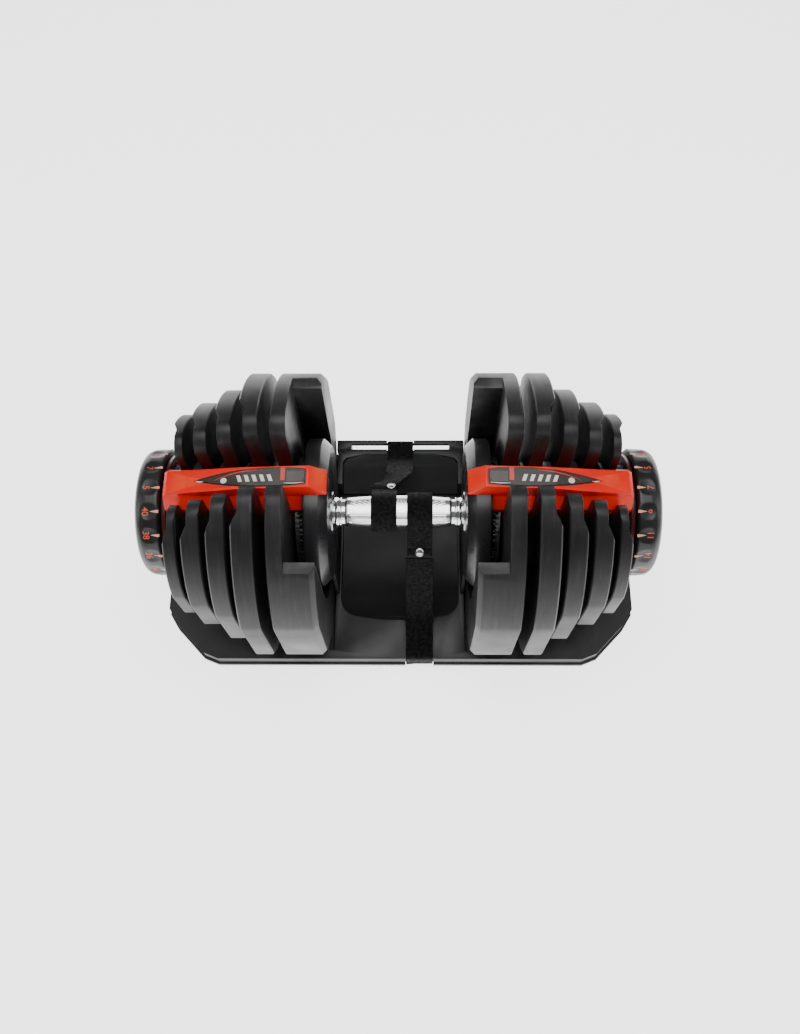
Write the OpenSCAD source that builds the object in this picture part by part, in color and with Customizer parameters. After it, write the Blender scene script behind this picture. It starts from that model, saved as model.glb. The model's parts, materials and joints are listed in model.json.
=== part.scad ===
// Adjustable dumbbell in its storage tray.
// The bar lies along X, its dials face out at both ends, and +Z is up.
// The origin is on the ground under the middle of the grip.

/* [Overall] */
// Height of the bar's axis above the ground
axis_h = 126; // [124:0.5:130]
// Distance from the middle to the outer face of each dial
dial_tip = 216.2; // [215:0.1:217]

/* [Plates] */
// Half width of each plate between its upright flats, smallest plate first
plate_half_w = [83.2, 92.3, 102.4, 115, 115];
// Radius of the top arc of each plate
plate_arc_r = [84.7, 94.7, 105.6, 119.6, 119.6];
// Depth of each plate's upright flats below the axis
plate_flat_drop = [25, 29, 38, 45, 45];
// Inner face of each plate, measured from the middle
plate_inner = [174.5, 153, 131, 108, 86];
// Outer face of each plate inside its recessed channel
plate_thin = [181, 163, 142, 119, 98.4];
// Outer face of each plate beside the channel
plate_outer = [185.5, 168.5, 146.5, 124.5, 98.4];
// Half width of the slot that the bar drops into
slot_half_w = 20; // [19.5:0.5:24]
// Rounding where the slot meets the top arc
slot_round = 14; // [4:0.5:16]
// Width of the bevel round each plate
plate_bevel = 1.2; // [0.5:0.1:2]
// Inner end of the thick lobes on the largest plate
lobe_inner = 62; // [61.5:0.5:64]
// Radius of the pocket between those lobes
lobe_pocket_r = 75; // [70:1:76]
// Height of the ledge on top of each lobe, above the axis
lobe_ledge = 84.6; // [80:0.1:86]
// Bevel on the inner edge of the lobes
lobe_bevel = 4; // [2:0.5:4.5]

/* [Selector] */
// Number of weight settings on a dial
settings = 17; // [17:1:17]
// Radius of a selector disc's web
disc_r = 43; // [42:0.5:43.5]
// Inner radius of the ribs that carry a plate
rib_inner_r = 40; // [39.8:0.1:40.4]
// Outer radius of the ribs
rib_outer_r = 44; // [43.5:0.1:44]
// Radius of the selector tube
tube_r = 17; // [16:0.5:17]
// Thickness of a disc's web
web_t = 2.6; // [2:0.1:3]
// Radius of the dial's numbered band
dial_r = 55; // [54:0.5:56]

/* [Handle] */
// Length of the gripping barrel
grip_len = 92; // [90:1:92]
// Radius of the barrel at its middle
grip_mid_r = 15.3; // [14:0.1:16]
// Radius of the barrel at its ends
grip_end_r = 13; // [12.5:0.1:13.5]
// Radius of the steel shaft
shaft_r = 9; // [8:0.5:9]
// Radius of the round plate at each end of the grip
end_plate_r = 64; // [62:0.5:64]

/* [Tray] */
// Length of the tray
tray_len = 442; // [438:1:444]
// Depth of the tray, front to back
tray_depth = 214; // [212:1:216]
// Height of the tray's deck above the ground
deck_h = 22; // [20:0.5:24]
// Height of the rubber feet
foot_h = 3; // [2.5:0.1:3.5]
// Height of the rail along the back of the hand hold
rail_h = 50; // [46:1:51]

/* [Strap] */
// Width of the webbing
strap_w = 25; // [20:1:26]
// Thickness of the webbing
strap_t = 1.6; // [1.2:0.1:1.8]

/* [Hidden] */
$fn = 64;
step_deg = 360 / settings;
fit = 0.05;
gap = 0.3;
big = 400;
round_overlap = 0.25;

// Right dial stands one click on from the lightest setting, left dial on it
rest_setting_right = 1;
rest_setting_left = 0;

// The pieces along the shaft, measured from the middle
groove_x = grip_len / 2;
collar_x = groove_x + 3;
end_x0 = 57;
end_bevel_x = 63.9;
end_x1 = 76.7;
ring_x0 = 78.6;
ring_x1 = 84;
hub_x0 = 77.5;
outer_collar_x0 = 190.5;
outer_collar_x1 = 194.2;
dial_x0 = 194.8;
tube_end = 203;
shaft_end = 203.5;
bolt_head_x1 = 208.5;

// Lock pin and the fine teeth that it drops into
lock_teeth = 4 * settings;
lock_notch_w = 2.2;
lock_tooth_w = 1.6;
lock_face_x = 80.6;
lock_rim_in = 42;
lock_rim_out = 48;
lock_pin_top = -36.5;
lock_pin_bottom = -62;
lock_half_w = 5;
scoop_x = 204.5;
scoop_r = 30;
scoop_depth = 1.3;
detent_r = 2.5;
detent_at = 30;

// Plates rest this far below their axis
plate_foot = [78, 88, 99, 112, 112];
tab_in = 34;
tab_out = 38.5;
tab_half_w = 5;
channel_half_w = 44;
channel_flare = 12;
plate_edge_r = [for (k = [0:4]) norm([plate_half_w[k], plate_flat_drop[k]])];

// Faces next outboard of each plate
next_face = [outer_collar_x0, plate_inner[0], plate_inner[1], plate_inner[2], plate_inner[3]];

// Spine over the top of the plates: its ridge line in X and Z above the axis
spine_half_w = 18;
spine_waist = 10.5;
spine_top_half_w = 9;
spine_wall = 2.5;
spine_x1 = 190;
ridge = [[57, 66], [70.5, 77.5], [125, 73.5], [187, 63.5], [190, 61]];
spine_foot = 20;
label_x0 = 72.5;
label_x1 = 164.5;
label_mid = 102;
label_half_w = 8.3;
label_t = 1.2;
screw_z = 51.5;
screw_y = 8;

// Tray outline corners, front right quarter
corner = [
    [tray_len / 2 - 50, -tray_depth / 2], [tray_len / 2 - 36, 5.5 - tray_depth / 2],
    [tray_len / 2 - 9.5, 33 - tray_depth / 2], [tray_len / 2, 48 - tray_depth / 2]
];
tray_wall = 3;
centre_half = 62;
dish_half = 56;
dish_r = 142;
dish_y = -8.7;
dish_up = 25;
hold_half = 48;
lip_h = 51;
lip_y = 96.8;
rail_y = 103;
rail_t = 4;
slot_floor = axis_h - plate_foot[4] - gap;
slot_end_y = 73;
slot_x1 = 126;
slit_end_y = 97;
slit_w = 4;
dish_round = 18;
dish_round_back = 8;
dish_front = 132;
dish_back = -105.3;
dish_bow = 200;
channel_w = 31;
channel_z = 20.2;
channel_front = 103.2;
channel_rear = 105.2;
rail_channel_z = 48.2;
stool_half = 48;
fin_t = 3;
fin_x = [188.3, 171.5, 149.8, 127.8, 103.2];
fin_rise = 13;
fin_half = 60;
foot_r = 9;

// Strap runs, as X centre lines
strap_front_x = 18.5;
strap_reach_front = 105;
strap_reach_back = 107;
strap_back_x = 0;
loop_front_x = 18.5;
loop_back_x = -12.5;
snap_back_x = -7;
loop_w = 22;
loop_r = 15.9;
snap_reach = 36;
front_lean = 50;
back_lean = -58;

// ---- Helpers ----

// Puts a right-hand piece on the left end, turned half a turn about Z
module on_left() {
    rotate([0, 0, 180]) children();
}

// Round bar along X between two stations
module bar(x0, x1, r) {
    translate([x0, 0, axis_h]) rotate([0, 90, 0]) cylinder(h = x1 - x0, r = r);
}

// Turned shape: profile points are radius and station along X
module turned(points, angle = 360, start = 0) {
    translate([0, 0, axis_h]) rotate([start, 0, 0]) rotate([0, 90, 0])
        rotate_extrude(angle = angle) polygon(points);
}

// Upright slab across X: its outline is drawn in Y and Z
module slab(x0, x1) {
    translate([x0, 0, axis_h]) rotate([90, 0, 90]) linear_extrude(x1 - x0) children();
}

// Shape drawn in X and Z above the axis, and drawn out along Y both ways
module side_cut(half_w) {
    translate([0, half_w, axis_h]) rotate([90, 0, 0]) linear_extrude(2 * half_w) children();
}

// Box from its low corner to its high corner, Z from the axis
module box_at(lo, hi) {
    translate([lo[0], lo[1], lo[2] + axis_h]) cube(hi - lo);
}

// ---- Plates ----

// True when the plate hangs on its disc at this setting
function plate_on(n, k) =
    let (m = n > 8 ? n - 8 : n)
    let (r = m >= 6 ? m - 3 : m)
    k == 4 ? n > 8 : k == 3 ? m >= 6 : k == 2 ? r >= 4 : k == 1 ? r % 4 >= 2 : r % 2 == 1;

// Bevelled round disc between two stations
module bevelled_disc(x0, x1, r, b0, b1) {
    turned([[0, x0], [r - b0, x0], [r, x0 + b0], [r, x1 - b1], [r - b1, x1], [0, x1]]);
}

// Corner between an upright line and an arc, outside a rounding that touches both
// side is 1 where the shape lies under the line's left, and -1 where it lies to its right
module corner_waste(line, side, r, arc_r, arc_y = 0) {
    x = line - side * r;
    y = sqrt(pow(arc_r - r + round_overlap, 2) - x * x);
    reach = (arc_r + 2) / (arc_r - r);
    translate([0, arc_y]) difference() {
        polygon([[x, y], [line + side, y], [line + side, y * reach + r], [x * reach, y * reach]]);
        translate([x, y]) circle(r = r);
    }
}

// Plate blank: round above, a little fuller below, cut by upright flats and a flat foot
module plate_blank(k, x0, x1, inner_bevel) {
    w = plate_half_w[k];
    b = inner_bevel;
    intersection() {
        union() {
            intersection() {
                bevelled_disc(x0, x1, plate_arc_r[k], b, plate_bevel);
                box_at([x0 - 1, -w - 1, 0], [x1 + 1, w + 1, plate_arc_r[k] + 1]);
            }
            intersection() {
                bevelled_disc(x0, x1, plate_edge_r[k], b, plate_bevel);
                box_at([x0 - 1, -w - 1, -plate_foot[k]], [x1 + 1, w + 1, 0]);
            }
        }
        translate([0, 0, axis_h - 150]) linear_extrude(300) polygon([
            [x0, -w + b], [x0 + b, -w], [x1 - plate_bevel, -w], [x1, -w + plate_bevel],
            [x1, w - plate_bevel], [x1 - plate_bevel, w], [x0 + b, w], [x0, w - b]
        ]);
    }
}

// U-shaped slot, open at the top
module drop_slot(x0, x1, half_w) {
    bar(x0, x1, half_w);
    box_at([x0, -half_w, 0], [x1, half_w, 160]);
}

module plate(k) {
    x0 = k == 4 ? lobe_inner : plate_inner[k];
    color([0.13, 0.13, 0.14]) {
        difference() {
            plate_blank(k, x0, plate_outer[k], k == 4 ? lobe_bevel : plate_bevel);
            drop_slot(x0 - 1, plate_outer[k] + 1, slot_half_w);
            for (m = [0, 1])
                slab(x0 - 1, plate_outer[k] + 1) mirror([m, 0, 0])
                    corner_waste(slot_half_w, -1, slot_round, plate_arc_r[k]);
            if (plate_outer[k] > plate_thin[k])
                linear_extrude(big) polygon([
                    [plate_thin[k], -channel_half_w], [plate_outer[k] + 1, -channel_half_w - channel_flare],
                    [plate_outer[k] + 1, channel_half_w + channel_flare], [plate_thin[k], channel_half_w]
                ]);
            if (k == 4) {
                drop_slot(x0 - 1, plate_inner[k], lobe_pocket_r);
                box_at([x0 - 1, -9, -150], [plate_inner[k], 9, 0]);
                box_at([x0 - 1, -100, lobe_ledge], [plate_inner[k], 100, 150]);
            }
        }
        box_at([plate_thin[k] - 1, -tab_half_w, -tab_out], [next_face[k] - 1.6 - web_t, tab_half_w, -tab_in]);
    }
}

// ---- Selector ----

// How many settings in a row, from n on, carry the plate
function run_from(n, k, count = 0) =
    count >= settings || !plate_on((n + count) % settings, k) ? count : run_from(n, k, count + 1);

module selector_disc(k, rest_setting) {
    web_x1 = next_face[k] - 1;
    web_x0 = web_x1 - web_t;
    rib_x0 = plate_thin[k] + 0.6;
    color([0.2, 0.2, 0.21]) difference() {
        union() {
            bar(web_x0, web_x1, disc_r);
            bar(rib_x0, web_x1, tube_r + 5);
            for (n = [0:settings - 1])
                if (plate_on(n, k) && !plate_on((n + settings - 1) % settings, k))
                    turned(
                        [[rib_inner_r, rib_x0], [rib_outer_r, rib_x0], [rib_outer_r, web_x1], [rib_inner_r, web_x1]],
                        run_from(n, k) * step_deg, (n - rest_setting - 0.5) * step_deg
                    );
        }
        bar(rib_x0 - 1, web_x1 + 1, tube_r + fit);
        box_at([rib_x0 - 1, -2.1, 0], [web_x1 + 1, 2.1, tube_r + 1.8]);
    }
}

module selector_tube() {
    color("silver") difference() {
        union() {
            bar(hub_x0, tube_end, tube_r);
            box_at([hub_x0, -2, 0], [outer_collar_x0 - 0.5, 2, tube_r + 1.5]);
        }
        bar(hub_x0 - 1, tube_end + 1, shaft_r + fit);
    }
}

// Ring of fine teeth beside the end plate, with a free track inside them
module lock_ring() {
    color([0.75, 0.75, 0.78]) difference() {
        bar(ring_x0, ring_x1, lock_rim_out);
        turned([[0, ring_x0 - 1], [lock_rim_in, ring_x0 - 1], [lock_rim_in, lock_face_x], [0, lock_face_x]]);
        for (i = [0:lock_teeth - 1])
            translate([0, 0, axis_h]) rotate([i * 360 / lock_teeth, 0, 0])
                translate([ring_x0 - 1, -lock_notch_w / 2, lock_rim_in - 1])
                    cube([lock_face_x - ring_x0 + 1, lock_notch_w, lock_rim_out - lock_rim_in + 2]);
        bar(ring_x0, ring_x1 + 1, tube_r + fit);
        box_at([ring_x0, -2.1, 0], [ring_x1 + 1, 2.1, tube_r + 1.8]);
    }
}

module dial(rest_setting) {
    color([0.12, 0.12, 0.13]) difference() {
        turned([
            [tube_r + fit, dial_x0], [dial_r - 2, dial_x0], [dial_r, dial_x0 + 2], [dial_r, 207],
            [dial_r - 1, 211], [dial_r - 2.8, 214], [dial_r - 6, dial_tip], [43, dial_tip],
            [40, 212], [22.1, 212], [22.1, 203.6], [tube_r + fit, 203.6]
        ]);
        for (n = [0:settings - 1])
            translate([0, 0, axis_h]) rotate([(n - rest_setting) * step_deg, 0, 0])
                translate([scoop_x, 0, dial_r - scoop_depth + scoop_r]) sphere(r = scoop_r);
    }
}

module dial_cap() {
    color([0.1, 0.1, 0.1]) turned([[0, 209.2], [22, 209.2], [22, 213.6], [20.5, 214.8], [0, 214.8]]);
}

// ---- Handle ----

module handle_grip() {
    color([0.8, 0.8, 0.82]) turned([
        [shaft_r + fit, -groove_x], [grip_end_r - 1, -groove_x], [grip_end_r, 1 - groove_x],
        [grip_end_r + 1.2, -30], [grip_mid_r - 0.3, -14], [grip_mid_r, 0], [grip_mid_r - 0.3, 14],
        [grip_end_r + 1.2, 30], [grip_end_r, groove_x - 1], [grip_end_r - 1, groove_x],
        [shaft_r + fit, groove_x]
    ]);
}

module handle_shaft() {
    color("silver") difference() {
        bar(-shaft_end, shaft_end, shaft_r);
        bar(-shaft_end - 1, -shaft_end + 18, 4);
        bar(shaft_end - 18, shaft_end + 1, 4);
    }
}

module grip_collar() {
    color([0.8, 0.8, 0.82]) turned([
        [shaft_r + fit, groove_x], [11.5, groove_x], [11.5, collar_x], [13.5, collar_x + 0.5],
        [15, 53], [18, 56.4], [18, end_x0], [shaft_r + fit, end_x0]
    ]);
}

module end_plate() {
    color([0.1, 0.1, 0.11]) difference() {
        turned([
            [shaft_r + fit, end_x0], [end_x0, end_x0], [end_plate_r, end_bevel_x], [end_plate_r, 75.2],
            [end_plate_r - 1.5, end_x1], [shaft_r + fit, end_x1]
        ]);
        box_at([70, -lock_half_w - gap, -80], [end_x1 + 1, lock_half_w + gap, -25]);
        translate([0, 0, axis_h]) rotate([detent_at, 0, 0])
            translate([66, 0, 45]) rotate([0, 90, 0]) cylinder(h = 20, r = detent_r + fit);
        for (y = [-screw_y, screw_y])
            translate([end_x0 - 1, y, axis_h + screw_z]) rotate([0, 90, 0]) {
                cylinder(h = 30, r = 2.05);
                cylinder(h = 4.5, r = 3.9);
            }
    }
}

// Outer form of the spine, or its hollow when shrunk
module spine_form(shrink) {
    w = spine_half_w - shrink;
    m = spine_waist - shrink;
    t = spine_top_half_w - shrink;
    intersection() {
        side_cut(w) polygon(concat(
            [[ridge[0][0] + shrink, spine_foot - shrink]],
            [for (p = ridge) [min(max(p[0], ridge[0][0] + shrink), spine_x1 - shrink), p[1] - 1.2 * shrink]],
            [[spine_x1 - shrink, spine_foot - shrink]]
        ));
        slab(50, 200) polygon([
            [-w, spine_foot - shrink - 1], [w, spine_foot - shrink - 1], [w, 50], [m, 61],
            [t, 80], [-t, 80], [-m, 61], [-w, 50]
        ]);
    }
}

// Panel on the ridge, pointed at its outer end, between two depths below the ridge line
module label_form(grow, low, high) {
    reach = label_x1 - label_mid + grow;
    half = label_half_w + grow;
    arc_r = (pow(reach, 2) + pow(half, 2)) / (2 * half);
    intersection() {
        linear_extrude(big) intersection() {
            translate([label_mid, half - arc_r]) circle(r = arc_r, $fn = 360);
            translate([label_mid, arc_r - half]) circle(r = arc_r, $fn = 360);
            translate([label_x0 - grow, -30]) square([200, 60]);
        }
        side_cut(30) polygon(concat(
            [for (i = [1:3]) [ridge[i][0], ridge[i][1] - low]],
            [for (i = [3:-1:1]) [ridge[i][0], ridge[i][1] + high]]
        ));
    }
}

module spine() {
    color([0.86, 0.12, 0.05]) difference() {
        union() {
            difference() {
                spine_form(0);
                spine_form(spine_wall);
            }
            box_at([end_x1 + gap, -11.8, 48.5], [ring_x1 + 1, 11.8, 57]);
        }
        bar(50, end_x1 + gap, end_plate_r + fit);
        bar(end_x1, ring_x1 + 1.5, lock_rim_out + 1.2);
        for (k = [0:4])
            bar(plate_thin[k] - 0.5, next_face[k] + 0.2, rib_outer_r + 1.2);
        label_form(0.1, label_t + 0.1, 10);
        for (y = [-screw_y, screw_y])
            translate([70, y, axis_h + screw_z]) rotate([0, 90, 0]) cylinder(h = 14, r = 1.95);
    }
}

module spine_label() {
    color([0.25, 0.23, 0.22]) label_form(0, label_t, -0.4);
}

module spine_screws() {
    color("dimgray") for (side = [0, 180])
        rotate([0, 0, side]) for (y = [-screw_y, screw_y])
            translate([end_x0 + 0.3, y, axis_h + screw_z]) rotate([0, 90, 0]) {
                cylinder(h = 3, r = 3.5);
                cylinder(h = 25, r = 1.9);
            }
}

// Bearing disc that closes the outer end of the spine
module outer_collar() {
    color([0.35, 0.05, 0.03]) difference() {
        bar(outer_collar_x0, outer_collar_x1, 50);
        bar(outer_collar_x0 - 1, outer_collar_x1 + 1, tube_r + 0.08);
    }
}

module end_bolts() {
    color("silver") for (side = [0, 180])
        rotate([0, 0, side]) difference() {
            union() {
                bar(shaft_end - 16, shaft_end + 1, 3.95);
                bar(shaft_end + 0.2, shaft_end + 1.8, 15);
                bar(shaft_end + 1.8, bolt_head_x1, 7);
            }
            translate([bolt_head_x1 - 3, 0, axis_h]) rotate([0, 90, 0]) cylinder(h = 4, r = 3.4, $fn = 6);
        }
}

// Upright bar that the tray pushes up, with a tooth beside the lock ring
module lock_pin() {
    color([0.7, 0.7, 0.72]) {
        box_at([70.3, -lock_half_w, lock_pin_bottom], [76.3, lock_half_w, lock_pin_top]);
        box_at([76, -lock_tooth_w / 2, lock_pin_top - 5], [lock_face_x - 0.4, lock_tooth_w / 2, lock_pin_top]);
    }
}

module lock_spring() {
    color("silver") translate([73.3, 0, axis_h + lock_pin_top + 0.2]) difference() {
        cylinder(h = 11, r = 2.8);
        translate([0, 0, -1]) cylinder(h = 13, r = 2);
    }
}

module detent_ball() {
    color("silver") translate([0, 0, axis_h]) rotate([detent_at, 0, 0])
        translate([ring_x0 - detent_r - 0.1, 0, 45]) sphere(r = detent_r);
}

module detent_spring() {
    color("silver") translate([0, 0, axis_h]) rotate([detent_at, 0, 0])
        translate([66.2, 0, 45]) rotate([0, 90, 0]) difference() {
            cylinder(h = 7, r = 2.2);
            translate([0, 0, -1]) cylinder(h = 9, r = 1.5);
        }
}

// ---- Tray ----

// Plan of the tray, drawn in by an inset
module tray_plan(inset) {
    quarter = [for (p = corner) [p[0] - inset * 0.8, p[1] + inset]];
    polygon(concat(
        quarter,
        [for (i = [3:-1:0]) [quarter[i][0], -quarter[i][1]]],
        [for (i = [0:3]) [-quarter[i][0], -quarter[i][1]]],
        [for (i = [3:-1:0]) [-quarter[i][0], quarter[i][1]]]
    ));
}

// Finger scoop under the grip
module dish() {
    intersection() {
        translate([-dish_half, dish_y, axis_h + dish_up]) rotate([0, 90, 0])
            cylinder(h = 2 * dish_half, r = dish_r, $fn = 128);
        linear_extrude(300) difference() {
            intersection() {
                translate([0, dish_front]) circle(r = dish_bow);
                translate([0, dish_back]) circle(r = dish_bow);
            }
            for (m = [0, 1])
                mirror([m, 0]) {
                    corner_waste(dish_half, 1, dish_round_back, dish_bow, dish_back);
                    mirror([0, 1]) corner_waste(dish_half, 1, dish_round, dish_bow, -dish_front);
                }
        }
    }
}

// Steps, fins and saddles on one end of the tray
module cradle() {
    for (k = [0:2])
        box_at([plate_inner[k] + 1, -stool_half, 10 - axis_h],
            [plate_outer[k] - 1, stool_half, -plate_foot[k] - gap]);
    for (k = [0:4])
        box_at([fin_x[k] - fin_t / 2, -fin_half, slot_floor - axis_h - 1],
            [fin_x[k] + fin_t / 2, fin_half, fin_rise - plate_foot[k]]);
    difference() {
        box_at([57.4, -42, 10 - axis_h], [60.6, 42, -20]);
        turned([[0, 56], [56 + gap, 56], [end_plate_r + gap, end_bevel_x], [0, end_bevel_x]]);
    }
}

module base_tray() {
    color([0.11, 0.11, 0.12]) difference() {
        union() {
            difference() {
                union() {
                    translate([0, 0, foot_h]) linear_extrude(5) tray_plan(0);
                    translate([0, 0, foot_h]) linear_extrude(deck_h - foot_h) tray_plan(2);
                    translate([-centre_half, 60, foot_h])
                        cube([2 * centre_half, lip_y - 60, lip_h - foot_h]);
                    translate([-centre_half, 60, foot_h]) cube([2 * centre_half, 47, rail_h - foot_h]);
                }
                for (side = [0, 180])
                    rotate([0, 0, side]) {
                        translate([60.7, -slot_end_y, slot_floor])
                            cube([slot_x1 - 60.7, 2 * slot_end_y, 60]);
                        translate([60.7, -slit_end_y, slot_floor]) cube([slit_w, 2 * slit_end_y, 60]);
                    }
                dish();
            }
            for (side = [0, 180])
                rotate([0, 0, side]) cradle();
        }
        // Channels that let the webbing lie flush
        translate([strap_front_x - channel_w / 2, -120, channel_z]) cube([channel_w, 60, 40]);
        translate([strap_front_x - channel_w / 2, -120, -1]) cube([channel_w, 120 - channel_front, 60]);
        translate([strap_back_x - channel_w / 2, 80, rail_channel_z]) cube([channel_w, 60, 40]);
        translate([strap_back_x - channel_w / 2, channel_rear, -1]) cube([channel_w, 20, 80]);
        translate([-hold_half, lip_y, -1]) cube([2 * hold_half, rail_y - lip_y, 80]);
        translate([-hold_half, lip_y, -1]) cube([2 * hold_half, 20, rail_h - rail_t + 1]);
        difference() {
            translate([0, 0, -1]) linear_extrude(foot_h + 4.5) tray_plan(tray_wall + 2.5);
            for (x = [-190, -64, 64, 190], y = [-78, 78])
                translate([x, y, 0]) cylinder(h = 30, r = foot_r + 2);
            translate([-hold_half - 3, lip_y - 3, -2]) cube([2 * hold_half + 6, 20, 80]);
        }
    }
}

module tray_feet() {
    color([0.06, 0.06, 0.06]) for (x = [-190, -64, 64, 190], y = [-78, 78])
        translate([x, y, 0]) cylinder(h = foot_h, r = foot_r);
}

// Posts that hold the lock pins up while the handle is home
module release_posts() {
    color([0.11, 0.11, 0.12]) for (side = [0, 180])
        rotate([0, 0, side]) {
            box_at([70.4, -4.5, slot_floor - axis_h], [76.2, 4.5, lock_pin_bottom - gap]);
            box_at([66, -7, slot_floor - axis_h], [80, 7, slot_floor - axis_h + 12]);
        }
}

// ---- Strap ----

// Unit normal on the left of a step
function left_of(a, b) = [a[1] - b[1], b[0] - a[0]] / norm(b - a);
function corner_normal(p, i) =
    i == 0 ? left_of(p[0], p[1])
    : i == len(p) - 1 ? left_of(p[i - 1], p[i])
    : let (m = left_of(p[i - 1], p[i]), n = left_of(p[i], p[i + 1])) (m + n) / (1 + m * n);

// Webbing that follows points in Y and Z, one thickness deep on their left
module webbing(points, x_mid, w) {
    translate([x_mid - w / 2, 0, 0]) rotate([90, 0, 90]) linear_extrude(w) polygon(concat(
        points,
        [for (i = [len(points) - 1:-1:0]) points[i] + strap_t * corner_normal(points, i)]
    ));
}

strap_front_path = [[-103.5, 2.4], [-103.5, 20.5], [-70, 20.5], [-52, 58], [-35, 94]];
strap_back_path = [[41, 101], [64, 76], [88, 48.5], [105.4, 48.5], [105.4, 2.4]];

// Turn of webbing round the grip, its two ends meeting at the snap
function loop_points(lean) = [
    for (p = concat(
        [[-0.4, -snap_reach - 4], [-0.4, -snap_reach + 6]],
        [for (a = [-50:20:230]) [-loop_r * cos(a), loop_r * sin(a)]],
        [[0.4, -snap_reach + 6], [0.4, -snap_reach - 4]]
    )) [p[0] * cos(lean) + p[1] * sin(lean), p[1] * cos(lean) - p[0] * sin(lean) + axis_h]
];

module strap_under() {
    half = strap_w / 2;
    color([0.05, 0.05, 0.05]) translate([0, 0, 0.6]) linear_extrude(strap_t) polygon([
        [strap_front_x - half, -strap_reach_front], [strap_front_x + half, -strap_reach_front],
        [strap_back_x + half, strap_reach_back], [strap_back_x - half, strap_reach_back]
    ]);
}

module strap_front() {
    color([0.05, 0.05, 0.05]) webbing(strap_front_path, strap_front_x, strap_w);
}

module strap_back() {
    color([0.05, 0.05, 0.05]) webbing(strap_back_path, strap_back_x, strap_w);
}

module strap_loop(x_mid, lean) {
    color([0.05, 0.05, 0.05]) webbing(loop_points(lean), x_mid, loop_w);
}

// Press snaps that hold the two loops shut, on their outer faces
module strap_snaps() {
    color("silver") {
        translate([loop_front_x, 0, axis_h]) rotate([-front_lean, 0, 0])
            translate([0, -strap_t - 0.5, -snap_reach]) rotate([90, 0, 0]) cylinder(h = 2, r = 4);
        translate([snap_back_x, 0, axis_h]) rotate([-back_lean, 0, 0])
            translate([0, strap_t + 0.5, -snap_reach]) rotate([-90, 0, 0]) cylinder(h = 2, r = 4);
    }
}

// ---- Nodes ----

base_tray();
tray_feet();
release_posts();
strap_under();
strap_front();
strap_back();
strap_loop(loop_front_x, front_lean);  // strap_loop_front
strap_loop(loop_back_x, back_lean);  // strap_loop_back
strap_snaps();
on_left() plate(0);  // plate_left_1
on_left() plate(1);  // plate_left_2
on_left() plate(2);  // plate_left_3
on_left() plate(3);  // plate_left_4
on_left() plate(4);  // plate_left_5
plate(0);  // plate_right_1
plate(1);  // plate_right_2
plate(2);  // plate_right_3
plate(3);  // plate_right_4
plate(4);  // plate_right_5
handle_grip();
handle_shaft();
spine_screws();
end_bolts();
on_left() grip_collar();  // grip_collar_left
grip_collar();  // grip_collar_right
on_left() end_plate();  // end_plate_left
end_plate();  // end_plate_right
on_left() spine();  // spine_left
spine();  // spine_right
on_left() spine_label();  // spine_label_left
spine_label();  // spine_label_right
on_left() outer_collar();  // outer_collar_left
outer_collar();  // outer_collar_right
on_left() lock_pin();  // lock_pin_left
lock_pin();  // lock_pin_right
on_left() lock_spring();  // lock_spring_left
lock_spring();  // lock_spring_right
on_left() detent_ball();  // detent_ball_left
detent_ball();  // detent_ball_right
on_left() detent_spring();  // detent_spring_left
detent_spring();  // detent_spring_right
on_left() selector_tube();  // selector_tube_left
selector_tube();  // selector_tube_right
on_left() lock_ring();  // lock_ring_left
lock_ring();  // lock_ring_right
on_left() dial_cap();  // dial_cap_left
dial_cap();  // dial_cap_right
on_left() selector_disc(0, rest_setting_left);  // selector_disc_left_1
selector_disc(0, rest_setting_right);  // selector_disc_right_1
on_left() selector_disc(1, rest_setting_left);  // selector_disc_left_2
selector_disc(1, rest_setting_right);  // selector_disc_right_2
on_left() selector_disc(2, rest_setting_left);  // selector_disc_left_3
selector_disc(2, rest_setting_right);  // selector_disc_right_3
on_left() selector_disc(3, rest_setting_left);  // selector_disc_left_4
selector_disc(3, rest_setting_right);  // selector_disc_right_4
on_left() selector_disc(4, rest_setting_left);  // selector_disc_left_5
selector_disc(4, rest_setting_right);  // selector_disc_right_5
on_left() dial(rest_setting_left);  // dial_left
dial(rest_setting_right);  // dial_right
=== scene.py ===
import json
from math import ceil, cos, pi, radians, sin, sqrt, tau

import bmesh
import bpy
from mathutils import Matrix, Vector


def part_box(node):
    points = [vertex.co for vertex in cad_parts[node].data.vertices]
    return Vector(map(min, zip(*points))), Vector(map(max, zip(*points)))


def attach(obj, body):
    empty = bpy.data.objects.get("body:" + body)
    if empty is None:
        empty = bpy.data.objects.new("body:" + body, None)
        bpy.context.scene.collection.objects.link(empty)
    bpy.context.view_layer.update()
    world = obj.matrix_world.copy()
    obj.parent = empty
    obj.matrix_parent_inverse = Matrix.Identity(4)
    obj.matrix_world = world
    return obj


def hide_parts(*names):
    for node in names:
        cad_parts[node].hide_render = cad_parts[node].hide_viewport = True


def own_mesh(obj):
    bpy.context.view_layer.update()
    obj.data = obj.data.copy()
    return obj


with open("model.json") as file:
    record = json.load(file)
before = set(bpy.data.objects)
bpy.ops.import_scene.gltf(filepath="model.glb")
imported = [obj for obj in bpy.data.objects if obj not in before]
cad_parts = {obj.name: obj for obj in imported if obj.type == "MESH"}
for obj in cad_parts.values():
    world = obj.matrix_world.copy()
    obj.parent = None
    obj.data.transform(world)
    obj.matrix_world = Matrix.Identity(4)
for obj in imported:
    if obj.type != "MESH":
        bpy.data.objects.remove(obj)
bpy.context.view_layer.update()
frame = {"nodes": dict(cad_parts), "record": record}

MM = 0.001
SIDES = {"right": 1, "left": -1}
PLATES = range(1, 6)


# ---- Camera -------------------------------------------------------------------------------

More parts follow.
